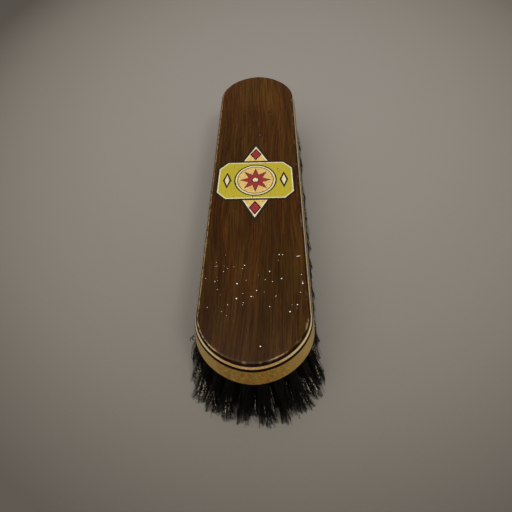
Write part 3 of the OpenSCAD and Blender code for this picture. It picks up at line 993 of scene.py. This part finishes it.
def fan_out(root, tip, end, fan, near):
    """A knot's tip, moved out from its root, and its hairs' ends, spread along the edge."""
    out = (tip - root)[:2] / max(np.linalg.norm((tip - root)[:2]), 1e-6)
    tip[:2] += out * (fan + FLARE * near)
    at_end = np.clip((abs(root[1]) - END_FROM) / END_OVER, 0, 1)
    tip[0] *= 1 - PINCH * at_end * math.exp(-(tip[0] / PINCH_W) ** 2)
    across = np.array((-out[1], out[0]))
    outward, sideways = end @ out, end @ across
    outward = np.where(outward > 0, outward * (OUTWARD + OUTWARD_NEAR * near), outward)
    return tip, outward[:, None] * out + sideways[:, None] * SIDEWAYS * across


print("a knot widens from", ROOT_R, "to", END_R, "mm")

# %% [markdown]
# ## One knot of hair
#
# A hair's centre line starts a little way up its hole, so that no gap shows there. It follows
# the knot's axis, moves from its start to its end across the knot, and has a slight kink, as
# real hair does. A soft limit holds back the hairs that would reach far out at the sides, so
# that the brush is hardly wider than the solid model. Hairs with painted glints are a little thicker.

# %% Grow one knot
SEGMENTS, IN_HOLE = 6, 2.5
LEAN, LEAN_NEAR = 0.5, 0.4
KINK, KINK_X, KINK_Y = 0.14, 3.2 * math.pi, 2.6 * math.pi
WIDEN_POWER, SPLIT_POWER = 0.9, 1.5
SIDE_LIMIT, SIDE_ROOM = 31.0, 1.8
HAIR_R, TAPER, GLINT_HAIR_THICKER = 0.15, 0.55, 1.25
PALE_LOCKS, PALE_LOCK_TIMES = 0.15, 4  # share of locks with more hairs with painted glints, and how many more
GLINT_FROM, GLINT_OVER = 0.45, 0.2
black_hair = [linear(c)[:3] for c in ("#030303", "#060605", "#0b0907", "#17110b")]


def hair_finish(draw, lock, along, glint_share):
    """Radius, colour and painted glint at each point of a knot's hairs."""
    thick = HAIR_R * draw.uniform(0.8, 1.15, (HAIRS, 1)) * (1 - TAPER * along)
    chance, lock_chance = draw.uniform(0, 1, HAIRS), draw.uniform(0, 1, LOCKS)
    pale = chance < np.where((lock_chance < PALE_LOCKS)[lock], PALE_LOCK_TIMES, 1) * glint_share
    dark = np.array(black_hair)[draw.integers(0, 4, HAIRS)][:, None, :]
    painted_glint = np.clip((along - GLINT_FROM) / GLINT_OVER, 0, 1) * pale[:, None]
    thick = thick * np.where(pale, GLINT_HAIR_THICKER, 1.0)[:, None]
    return thick, np.repeat(dark, SEGMENTS + 1, axis=1), painted_glint


def tuft(root, tip, draw, glint_share, fan):
    """Centre lines of one knot's hairs, in millimetres, with their radii, colours and painted glints.
    """
    root, tip = np.array(root), np.array(tip)
    start, end, lock = gather(draw)
    near = np.clip((-END_FROM - root[1]) / END_OVER, 0, 1)
    lean = draw.normal(0, LEAN + LEAN_NEAR * near, 2)
    short = shortness(draw, lock)
    tip, end = fan_out(root, tip, end, fan, near)
    t = np.linspace(-IN_HOLE / TRIM, 1, SEGMENTS + 1)[None, :, None]
    t = t * np.where(t > 0, 1 - short[:, None, None] / TRIM, 1)
    flat_t = np.clip(t, 0, 1)
    along = flat_t[..., 0]
    axis = root[None, None, :2] + (tip - root)[None, None, :2] * t
    radius = ROOT_R + (END_R - ROOT_R) * flat_t ** WIDEN_POWER
    split = flat_t ** SPLIT_POWER
    place = start[:, None, :] * (1 - split) + end[:, None, :] * split
    xy = axis + place * radius + lean * flat_t ** 2
    wave_x, wave_y = draw.uniform(0, 2 * math.pi, (2, HAIRS, 1))
    xy[..., 0] += KINK * along * np.sin(KINK_X * t[..., 0] + wave_x)
    xy[..., 1] += KINK * along * np.cos(KINK_Y * t[..., 0] + wave_y)
    over = np.clip(np.abs(xy[..., 0]) - SIDE_LIMIT, 0, None)
    xy[..., 0] -= np.sign(xy[..., 0]) * (over - SIDE_ROOM * (1 - np.exp(-over / SIDE_ROOM)))
    line = np.concatenate([xy, TRIM * (1 - t)], 2)
    return line, *hair_finish(draw, lock, along, glint_share)


print("hairs of", SEGMENTS, "segments, colours", len(black_hair))

# %% [markdown]
# ## Hair as mesh
#
# Particle hair would be quick, but it leaves no mesh to export. So every hair is a thin
# three-sided tube that tapers to its tip, with a face at either end. Three sides are enough
# for a thing this thin, and all hairs of a row are made at once.

# %% Tubes round the centre lines
SIDES = 3


def hair_mesh(lines, thick, colours, painted_glint):
    """Three-sided tubes round the centre lines, closed at both ends."""
    hairs, points = lines.shape[:2]
    a = 2 * math.pi * np.arange(SIDES) / SIDES
    ring = np.stack([np.cos(a), np.sin(a), np.zeros(SIDES)], 1)
    vertices = lines[:, :, None, :] + thick[:, :, None, None] * ring
    vertices[..., 2] = np.maximum(vertices[..., 2], 0.0)
    start = (np.arange(hairs) * points * SIDES)[:, None, None]
    low = start + (np.arange(points - 1) * SIDES)[None, :, None]
    i = np.arange(SIDES)[None, None, :]
    j = (i + 1) % SIDES
    quads = np.stack([low + j, low + i, low + SIDES + i, low + SIDES + j], -1).reshape(-1, 4)
    first = start[:, 0] + np.arange(SIDES)
    last = (first + (points - 1) * SIDES)[:, ::-1]
    shade = np.ones((hairs, points * SIDES, 4))
    shade[..., :3] = np.repeat(colours, SIDES, axis=1)
    attributes = {"shade": shade.reshape(-1, 4), "painted_glint": np.repeat(painted_glint.ravel(), SIDES)}
    faces = quads.tolist() + first.tolist() + last.tolist()
    return vertices.reshape(-1, 3).tolist(), faces, attributes


print("a hair has", SIDES * (SEGMENTS + 1), "vertices")

# %% [markdown]
# ## Rows of hair
#
# One piece per row stands for the solid row of tufts. Hairs with painted glints are few in
# the middle and more towards the sides, the most on the right. Each row has its own random
# seed. Those of rows 1, 2, 8 and 9 were chosen from many by a search outside this script,
# which compared the fringe of each with the photographed one, so that the points and notches
# at the wide end fall about where the real brush has them.

# %% Grow the rows
HAIR_SEEDS = (1268, 2008, 203, 204, 205, 206, 207, 8162, 9273)
PALE_MIDDLE, PALE_LEFT, PALE_RIGHT = 0.012, 0.11, 0.18
PALE_KNOTS = (0.4, 1.0, 1.6)


def glint_share(x):
    """The share of hairs with painted glints in a knot whose hole is at x."""
    return PALE_MIDDLE + (PALE_LEFT if x < 0 else PALE_RIGHT) * (x / NEAR_W * 2) ** 2


for row in ROWS:
    draw = np.random.default_rng(HAIR_SEEDS[row - 1])
    share = abs(row - SIDE_ROWS - 1) / SIDE_ROWS
    fan = 4 * FAN * share * (1 - share)
    tufts = []
    for root, tip in knots(row):
        pale = draw.choice(PALE_KNOTS) * glint_share(root[0])
        tufts.append(tuft(root, tip, draw, pale, fan))
    lines, *rest = (np.concatenate(part) for part in zip(*tufts))
    vertices, faces, attributes = hair_mesh(lines, *rest)
    hair = new_piece(f"horsehair_row_{row}", vertices, faces, attributes)
    hair.data.materials.append(horsehair)
    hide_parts(f"tuft_row_{row}")
    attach(hair, "root")
    print("row", row, "has", len(lines), "hairs and", len(faces), "faces")

# %% [markdown]
# ## A stray hair
#
# One curly hair hangs out beside the wide end, as on the real brush. It is a helix that gets
# narrower as it drops, and it starts among the bristles, so that it is held by them.

# %% The stray hair
CURL_AT, CURL_DRIFT, CURL_DROP = (-26.0, -72.6, 27.0), 2.4, 3
CURL_POINTS, CURL_TURNS, CURL_W, CURL_LESS, CURL_THICK = 28, 1.6, 1.3, 0.4, 0.22

t = np.linspace(0, 1, CURL_POINTS)
turn, curl_r = 2 * math.pi * CURL_TURNS * t, CURL_W - CURL_LESS * t
curl = np.stack([CURL_AT[0] - CURL_DRIFT * t + curl_r * np.cos(turn),
                 CURL_AT[1] + curl_r * np.sin(turn), CURL_AT[2] - CURL_DROP * t], 1)[None]
one = (1, CURL_POINTS)
vertices, faces, attributes = hair_mesh(
    curl, np.full(one, CURL_THICK), np.full((*one, 3), black_hair[2]), np.zeros(one))
stray = new_piece("stray_horsehair", vertices, faces, attributes)
stray.data.materials.append(horsehair)
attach(stray, "root")
print("stray hair of", len(faces), "faces")

# %% [markdown]
# ## Drawing wire
#
# Inside the block, one brass wire per row loops down each hole and holds the folded hair.
# Its solids from the model are right as they are and out of sight, so they keep their shape
# and only get a drawn brass finish.

# %% Brass
def brass_material():
    material, tree = new_material("drawn_brass_wire")
    place = add(tree, "TexCoord").outputs["Object"]
    line_map = add(tree, "Mapping", {"Vector": place, "Scale": per(0.3, 2, 0.3)})
    lines = add(tree, "TexNoise", {"Vector": line_map.outputs[0], "Scale": 1.0, "Detail": 2.0})
    colour = add(tree, "ValToRGB", {"Fac": lines.outputs[0]},
                 [(0.35, "#a8854a"), (0.65, "#cfae6d")])
    rough = add(tree, "MapRange", {"Value": lines.outputs[0], "To Min": 0.28, "To Max": 0.45})
    shader = add(tree, "BsdfPrincipled", {
        "Base Color": colour.outputs[0], "Metallic": 1.0, "Roughness": rough.outputs[0]})
    add(tree, "OutputMaterial", {"Surface": shader.outputs[0]})
    return material


brass = brass_material()
for row in ROWS:
    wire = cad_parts[f"drawing_wire_{row}"]
    if not wire.material_slots:
        wire.data.materials.append(brass)
    for wire_slot in wire.material_slots:
        wire_slot.material = brass
print("brass on", len(ROWS), "wires")

# %% [markdown]
# ## Floor
#
# The brush stands on a plain warm grey sweep of paper. It darkens away from a middle behind
# the brush, as paper does under a studio lamp. The darkening is in the paper's own colour,
# round a fixed place, so that it stays put when the view changes. The fine tooth is a noise of
# one and a half millimetres, coarser than real paper's, which wouldn't show.

# %% Floor
# Middle of the bright pool, and its scale: it has faded 264 mm away in X and 317 mm in Y
POOL_AT, POOL_SCALE = (0.0126, 0.154, 0.0), (1 / 0.264, 1 / 0.317, 0.0)
FLOOR_RINGS, FLOOR_SIDES = (250.0, 600.0, 1200.0, 2400.0), 64


def floor_material():
    material, tree = new_material("warm_grey_paper")
    place = add(tree, "TexCoord").outputs["Object"]
    tooth_map = add(tree, "Mapping", {"Vector": place, "Scale": per(1.5, 1.5, 1.5)})
    tooth = add(tree, "TexNoise", {"Vector": tooth_map.outputs[0], "Scale": 1.0, "Detail": 2.0})
    grain = add(tree, "ValToRGB", {"Fac": tooth.outputs[0]}, [(0.3, 0.97), (0.7, 1.0)])
    off = add(tree, "VectorMath", {0: place, 1: POOL_AT}, operation="SUBTRACT")
    scaled = add(tree, "VectorMath", {0: off.outputs[0], 1: POOL_SCALE}, operation="MULTIPLY")
    distance = add(tree, "VectorMath", {0: scaled.outputs[0]}, operation="LENGTH").outputs["Value"]
    sweep = add(tree, "ValToRGB", {"Fac": distance}, [
        (0.0, "#918b83"), (0.3, "#8f8981"), (0.5, "#8a847b"), (0.7, "#807a71"),
        (0.8, "#777268"), (0.93, "#655f57"), (1.0, "#57524a")])
    colour = add(tree, "Mix", {FACTOR: 1.0, COLOUR_A: sweep.outputs[0], COLOUR_B: grain.outputs[0]},
                 data_type="RGBA", blend_type="MULTIPLY")
    shader = add(tree, "BsdfPrincipled", {
        "Base Color": colour.outputs[MIXED], "Roughness": 0.85, "Specular IOR Level": 0.2})
    add(tree, "OutputMaterial", {"Surface": shader.outputs[0]})
    return material


floor_v, floor_f = [], [list(range(FLOOR_SIDES))]
for radius in FLOOR_RINGS:
    floor_v += [(x, y, 0.0) for x, y in circle(radius, FLOOR_SIDES, y=0.0)]
for inner in range(0, FLOOR_SIDES * (len(FLOOR_RINGS) - 1), FLOOR_SIDES):
    outer = inner + FLOOR_SIDES
    for i in range(FLOOR_SIDES):
        j = (i + 1) % FLOOR_SIDES
        floor_f.append([inner + i, outer + i, outer + j, inner + j])
floor = new_piece("paper_floor", floor_v, floor_f)
floor.data.materials.append(floor_material())
print("floor", 2 * FLOOR_RINGS[-1] * MM, "m across")

# %% [markdown]
# ## Lamps
#
# One wide lamp overhead, a little to the left, gives the soft shadow on both sides. A narrow
# one in front on the right draws the bright line on the rim. The levels are set so that a
# colour renders about as it is written.

# %% Lamps
def lamp(name, place, width, depth, power, aim=(0.0, 0.0, 0.02)):
    """A soft rectangular lamp at a place in metres, turned to its aim."""
    light = bpy.data.lights.new(name, "AREA")
    light.shape, light.size, light.size_y, light.energy = "RECTANGLE", width, depth, power
    thing = bpy.data.objects.new(name, light)
    bpy.context.scene.collection.objects.link(thing)
    thing.location = place
    way = np.array(aim) - np.array(place)
    tilt = math.atan2(math.hypot(way[0], way[1]), -way[2])
    thing.rotation_euler = (tilt, 0.0, math.atan2(way[0], -way[1]) + math.pi)
    print("lit", name, "at", power, "W")


lamp("overhead_softbox", (-0.15, -0.3, 1.0), 1.1, 1.1, 7.4)
lamp("side_window", (0.38, -0.53, 1.0), 0.24, 0.14, 3.3, aim=(0.0105, -0.0893, 0.044))

# %% [markdown]
# ## World
#
# The world fills the shadows with an even, dim light. What the camera, reflections and glass
# see of it is another tone, which rises from that of the far floor, so that no hard horizon
# shows in a low view. The Standard view leaves the colours as they are written.

# %% World
world = bpy.data.worlds.new("studio_fill")
world.use_nodes = True
tree = world.node_tree
tree.nodes.clear()
fill = add(tree, "Background", {"Color": linear("#f2efec"), "Strength": 0.5})
way = add(tree, "TexCoord").outputs["Generated"]
rise = add(tree, "SeparateXYZ", {0: way}).outputs["Z"]
sweep = add(tree, "ValToRGB", {"Fac": rise}, [(0.0, "#413e39"), (0.4, "#857f79")])
seen = add(tree, "Background", {"Color": sweep.outputs[0], "Strength": 1.0})
path = add(tree, "LightPath").outputs
mirrored = add(tree, "Math", {0: path["Is Camera Ray"], 1: path["Is Glossy Ray"]},
               operation="MAXIMUM")
shown = add(tree, "Math", {0: mirrored.outputs[0], 1: path["Is Transmission Ray"]},
            operation="MAXIMUM")
both = add(tree, "MixShader", {0: shown.outputs[0], 1: fill.outputs[0], 2: seen.outputs[0]})
add(tree, "OutputWorld", {"Surface": both.outputs[0]})
bpy.context.scene.world = world
bpy.context.scene.view_settings.view_transform = "Standard"
print("world set")
